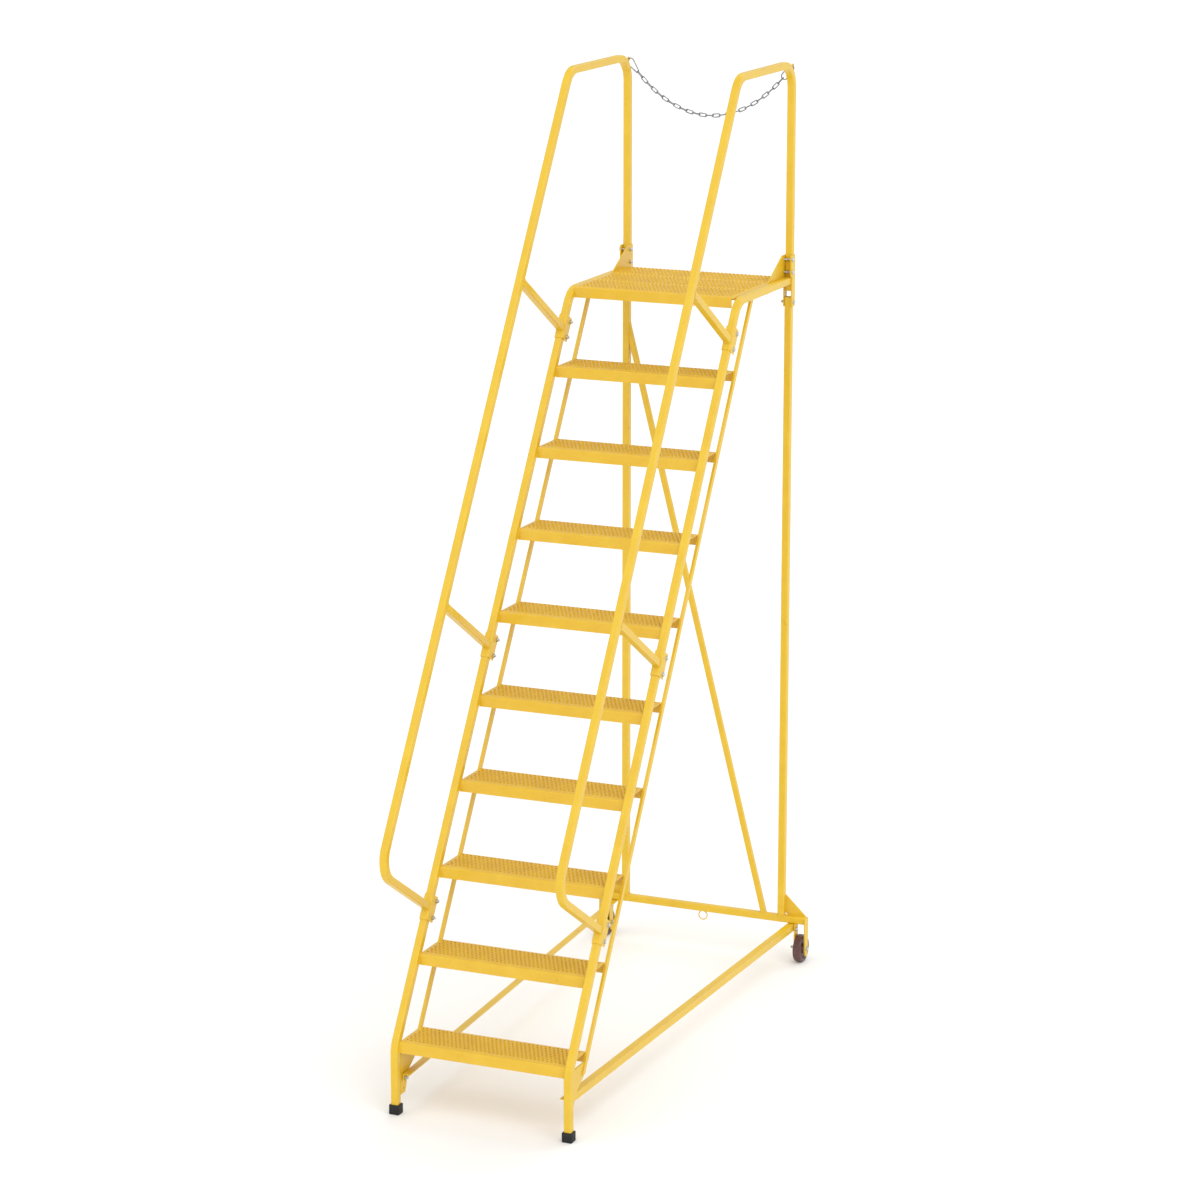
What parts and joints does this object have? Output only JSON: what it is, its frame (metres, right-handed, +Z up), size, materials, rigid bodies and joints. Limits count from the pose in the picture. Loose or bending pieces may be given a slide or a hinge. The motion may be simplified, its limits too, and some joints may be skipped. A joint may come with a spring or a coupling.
{
  "type": "mobile ladder stand",
  "caption": "Yellow rolling ladder stand: steep perforated treads up to a railed platform, rear casters, rubber front feet, safety chain.",
  "frame": {"origin": "on the floor under the middle of the overall box", "axes": "+Z up, +Y from the front feet to the rear casters, +X to the climber's right"},
  "size_m": [0.834, 2.0664, 3.294],
  "materials": {
    "yellow_powder_coat": "gloss powder coat",
    "foot_rubber": "moulded matt rubber",
    "wheel_phenolic": "moulded phenolic, satin",
    "zinc_fasteners": "bright zinc plated",
    "zinc_chain": "zinc plated, dulled"
  },
  "bodies": {
    "frame": {"axle_bolts": "zinc_fasteners", "axle_nuts": "zinc_fasteners", "axle_sleeves": "zinc_fasteners", "brace_bolts": "zinc_fasteners", "brace_nuts": "zinc_fasteners", "caster_plate_inner_left": "yellow_powder_coat", "caster_plate_inner_right": "yellow_powder_coat", "caster_plate_outer_left": "yellow_powder_coat", "caster_plate_outer_right": "yellow_powder_coat", "chain_eyes": "yellow_powder_coat", "clamp_bolts": "zinc_fasteners", "clamp_nuts": "zinc_fasteners", "corner_gusset_left": "yellow_powder_coat", "corner_gusset_right": "yellow_powder_coat", "diagonal_brace": "yellow_powder_coat", "foot_left": "foot_rubber", "foot_right": "foot_rubber", "frame_bolts": "zinc_fasteners", "frame_nuts": "zinc_fasteners", "handrail_clamps_left": "yellow_powder_coat", "handrail_clamps_right": "yellow_powder_coat", "handrail_left": "yellow_powder_coat", "handrail_right": "yellow_powder_coat", "handrail_struts_left": "yellow_powder_coat", "handrail_struts_right": "yellow_powder_coat", "leg_bracket_left": "yellow_powder_coat", "leg_bracket_right": "yellow_powder_coat", "platform_plank_1": "yellow_powder_coat", "platform_plank_2": "yellow_powder_coat", "platform_plank_3": "yellow_powder_coat", "rail_gusset_left": "yellow_powder_coat", "rail_gusset_right": "yellow_powder_coat", "rail_strap_left": "yellow_powder_coat", "rail_strap_right": "yellow_powder_coat", "rear_cross_bar": "yellow_powder_coat", "rear_upright_left": "yellow_powder_coat", "rear_upright_right": "yellow_powder_coat", "side_brace_left": "yellow_powder_coat", "side_brace_right": "yellow_powder_coat", "step_1": "yellow_powder_coat", "step_2": "yellow_powder_coat", "step_3": "yellow_powder_coat", "step_4": "yellow_powder_coat", "step_5": "yellow_powder_coat", "step_6": "yellow_powder_coat", "step_7": "yellow_powder_coat", "step_8": "yellow_powder_coat", "step_9": "yellow_powder_coat", "step_bar_left": "yellow_powder_coat", "step_bar_right": "yellow_powder_coat", "stringer_left": "yellow_powder_coat", "stringer_right": "yellow_powder_coat", "tie_ring": "yellow_powder_coat"},
    "left_wheel": {"wheel_left": "wheel_phenolic"},
    "right_wheel": {"wheel_right": "wheel_phenolic"},
    "chain": {"safety_chain": "zinc_chain", "snap_hook": "zinc_chain", "gate_pin": "zinc_chain", "end_link": "zinc_chain"},
    "gate": {"hook_gate": "zinc_chain"}
  },
  "joints": [
    {"name": "left_wheel_spin", "type": "hinge", "parent": "frame", "child": "left_wheel", "pos_m": [-0.3885, 0.98242, 0.0508], "axis": [1, 0, 0], "continuous": true},
    {"name": "right_wheel_spin", "type": "hinge", "parent": "frame", "child": "right_wheel", "pos_m": [0.3885, 0.98242, 0.0508], "axis": [1, 0, 0], "continuous": true},
    {"name": "chain_swing", "type": "hinge", "parent": "frame", "child": "chain", "pos_m": [0, 0.99706, 3.2726], "axis": [1, 0, 0], "range_deg": [0, 80]},
    {"name": "gate_open", "type": "hinge", "parent": "chain", "child": "gate", "pos_m": [-0.28787, 0.99706, 3.2337], "axis": [0, 1, 0], "range_deg": [0, 24], "stiffness_Nm_per_rad": 0.02, "springref_deg": -17.19}
  ]
}
